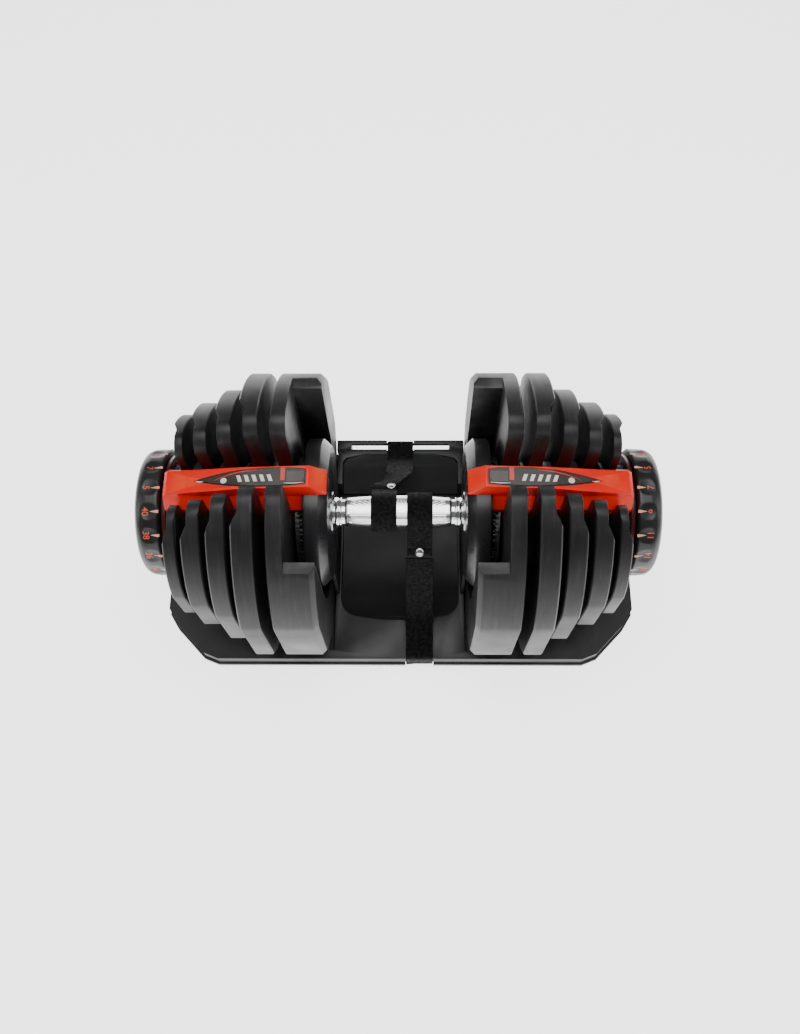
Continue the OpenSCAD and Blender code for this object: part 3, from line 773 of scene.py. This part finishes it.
# Strap runs as (x, y, z) in mm from the tray's front, over the deck and up to the loop
FRONT_X = 18.5
FRONT_LOW = [(FRONT_X, -104.3, 2.4), (FRONT_X, -104.3, 6), (FRONT_X, -104.3, 12),
             (FRONT_X, -104.3, 17), (FRONT_X, -104.1, 19.8),
             (FRONT_X, -102.4, 21.3), (FRONT_X, -98, 21.3), (FRONT_X, -88, 21.3), (FRONT_X, -78, 21.3)]
FRONT_HIGH = [(FRONT_X, -78, 21.3), (FRONT_X, -72, 22.6), (FRONT_X, -66, 31),
              (FRONT_X, -58.5, 46), (FRONT_X, -50, 63),
              (FRONT_X, -41, 82), (FRONT_X, -32.6, 98)]
BACK_LOW = [(0, 87, 50.6), (0, 91, 49.5), (0, 96, 49.3), (0, 101, 49.3), (0, 104.6, 49.2),
            (0, 106.1, 47.8), (0, 106.2, 44),
            (0, 106.2, 30), (0, 106.2, 15), (0, 106.2, 2.4)]
BACK_HIGH = [(-12.5, 32.2, 105.9), (-12, 35.4, 103.8), (-9.2, 39, 100.6), (-4, 46, 94.4),
             (-0.9, 56, 84.5), (0, 66, 74),
             (0, 76, 63), (0, 83, 54.5), (0, 87, 50.6)]
UNDER = [(FRONT_X, -104.4, 1.4), (FRONT_X / 2, 0, 1.4), (0, 106.4, 1.4)]
SNAP_X = {"front": 18.5, "back": -7}
LOOPS = {"front": (18.5, radians(50)), "back": (-12.5, radians(-58))}
LOOP_W = 22 * MM
SNAP_REACH = 36 * MM


def in_mm(path):
    return [Vector(p) * MM for p in path]


def leaned(x, y, z, lean):
    """A point beside the bar, turned round it by the lean of a loop."""
    return Vector((x, y * cos(lean) + z * sin(lean), AXIS.z + z * cos(lean) - y * sin(lean)))


def add_loop(which):
    x, lean = LOOPS[which]
    reach = GRIP_MID_R + STRAP_T / 2 + 0.25 * MM
    legs = [(-1.15 * MM, -40 * MM), (-1.15 * MM, -36 * MM), (-1.25 * MM, -31 * MM)]
    turn = [(-reach * cos(a), reach * sin(a)) for a in [radians(-46 + 8 * i) for i in range(35)]]
    path = [leaned(x * MM, y, z, lean) for y, z in legs + turn + [(-y, z) for y, z in legs[::-1]]]
    piece = ribbon(f"strap_loop_{which}_woven", path, LOOP_W, 150)
    settle(piece, f"strap_loop_{which}")
    sign = -1 if which == "front" else 1
    out = leaned(0, sign, 0, lean) - leaned(0, 0, 0, lean)
    spots = []
    for k in range(9):
        for z, y in ((-31.5, 2.15), (-39.2, 2.05)):
            a = leaned((x - 9.4 + 2.1 * k) * MM, sign * y * MM, z * MM, lean)
            spots.append((a, a + Vector((1.5 * MM, 0, 0)), out))
    stitches(f"strap_loop_{which}_stitches", spots, f"strap_loop_{which}")


def add_snaps():
    """Domed press snaps with a rolled rim."""
    profile = [(0, 1.75), (1.0, 1.72), (2.0, 1.5), (2.6, 1.2), (2.9, 1.25), (3.3, 1.5),
               (3.7, 1.4), (3.95, 0.9), (3.95, 0.0)]
    points, faces, steps = [], [], 48
    for which, (_, lean) in LOOPS.items():
        x = SNAP_X[which]
        sign = -1 if which == "front" else 1
        base = len(points)
        for r, up in profile:
            for i in range(steps):
                a = tau * i / steps
                out = sign * (2.1 + up) * MM
                points.append(leaned((x + r * cos(a)) * MM, out, -SNAP_REACH + r * sin(a) * MM, lean))
        for k in range(len(profile) - 1):
            for i in range(steps):
                j = (i + 1) % steps
                low, high = base + k * steps, base + (k + 1) * steps
                faces.append((low + i, low + j, high + j, high + i))
        last = base + (len(profile) - 1) * steps
        faces.append(tuple(last + i for i in range(steps)))
    piece = from_faces("strap_snaps_domed", points, faces)
    work = bmesh.new()
    work.from_mesh(piece.data)
    bmesh.ops.remove_doubles(work, verts=work.verts, dist=0.000005)
    work.to_mesh(piece.data)
    work.free()
    outward(piece)
    smooth(piece, 50)
    settle(piece, "strap_snaps")


TWIST = 0.45
TWIST_END = 0.45


def twisted(t):
    """The strap's width direction on the back leg, which turns and comes back near its loop."""
    tilt = TWIST * sin(pi * min(1, t / TWIST_END))
    return Vector((cos(tilt), 0, sin(tilt)))


def add_strap():
    settle(ribbon("strap_under_woven", in_mm(UNDER), STRAP_W, 90), "strap_under")
    settle(ribbon("strap_front_wrap", in_mm(FRONT_LOW), STRAP_W, 60), "strap_front")
    settle(ribbon("strap_back_wrap", in_mm(BACK_LOW), STRAP_W, 70), "strap_back")
    rise = settle(ribbon("strap_front_rise", in_mm(FRONT_HIGH), STRAP_W, 80), "strap_front", None, False)
    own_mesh(rise)
    rise = ribbon("strap_back_rise", in_mm(BACK_HIGH), STRAP_W, 80, twisted)
    settle(rise, "strap_back", None, False)
    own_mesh(rise)
    for which in LOOPS:
        add_loop(which)
    add_snaps()


# ---- Pieces -------------------------------------------------------------------------------

CHANNEL_HALF = 15.5 * MM
CHANNEL_SNUG = 13.2 * MM
CHANNEL_ROUND = 1.2 * MM
CHANNELS = {-1: FRONT_X * MM, 1: 0.0}


def snug_channels(tray):
    """Brings the walls of the two webbing channels in beside the strap."""
    for vertex in tray.data.vertices:
        if abs(vertex.co.y) > 60 * MM:
            middle = CHANNELS[1 if vertex.co.y > 0 else -1]
            away = vertex.co.x - middle
            if abs(abs(away) - CHANNEL_HALF) < CHANNEL_ROUND:
                vertex.co.x -= (CHANNEL_HALF - CHANNEL_SNUG) * (1 if away > 0 else -1)


for side in SIDES:
    for k in PLATES:
        softened(f"plate_{side}_{k}", 1.0 * MM, 3)
        softened(f"selector_disc_{side}_{k}", 0.3 * MM)
    softened(f"end_plate_{side}", 0.6 * MM)
    softened(f"spine_{side}", 0.9 * MM, 3)
    softened(f"outer_collar_{side}", 0.4 * MM)
    softened(f"dial_cap_{side}", 0.5 * MM)
    softened(f"lock_pin_{side}", 0.3 * MM)
    softened(f"lock_ring_{side}", 0.15 * MM).data.materials[0] = RING_DARK
    add_dial(side)
    add_label_art(side)
for node, width in (("base_tray", 0.8), ("tray_feet", 0.6), ("release_posts", 0.5), ("end_bolts", 0.3)):
    softened(node, width * MM)
snug_channels(bpy.data.objects["base_tray_rounded"])
add_grip()
add_collars()
add_strap()

for node, piece in frame["nodes"].items():
    if not piece.hide_render:
        piece.data.materials.clear()
        piece.data.materials.append(MATERIALS[SLOT_OF[node]])


# ---- Stage --------------------------------------------------------------------------------


FLOOR_HALF = 3
FLOOR_GLOW = 2.4
WORLD_STRENGTH = 0.17


def add_floor():
    points = [(x * FLOOR_HALF, y * FLOOR_HALF, 0) for x, y in ((-1, -1), (1, -1), (1, 1), (-1, 1))]
    floor = from_faces("floor", points, [(0, 1, 2, 3)])
    g = Graph("pale_floor", 0.7, Emission_Color=(1, 1, 1, 1), Emission_Strength=FLOOR_GLOW)
    g.colour(g.blend(g.ramp(g.noise(2), 0, 1), (0.93, 0.93, 0.93), (0.96, 0.96, 0.96)))
    floor.data.materials.append(g.material)


def add_light(name, place, aim, size, power):
    data = bpy.data.lights.new(name, "AREA")
    data.shape = "RECTANGLE"
    data.size, data.size_y = size
    data.energy = power
    lamp = bpy.data.objects.new(name, data)
    bpy.context.scene.collection.objects.link(lamp)
    lamp.location = place
    lamp.rotation_euler = (Vector(aim) - Vector(place)).to_track_quat("-Z", "Y").to_euler()


def add_world():
    world = bpy.data.worlds.new("studio")
    world.use_nodes = True
    world.node_tree.nodes["Background"].inputs["Color"].default_value = (1, 1, 1, 1)
    world.node_tree.nodes["Background"].inputs["Strength"].default_value = WORLD_STRENGTH
    bpy.context.scene.world = world


add_floor()
add_world()
add_light("overhead", (0, 0.15, 1.5), (0, 0, 0.1), (1.2, 0.9), 15)
add_light("front", (0, -1.3, 0.35), (0, 0, 0.08), (1.6, 0.35), 4)
add_light("left", (-1.4, -0.1, 0.8), (0, 0, 0.1), (0.5, 1.0), 5)
add_light("right", (1.4, -0.1, 0.8), (0, 0, 0.1), (0.5, 1.0), 5)
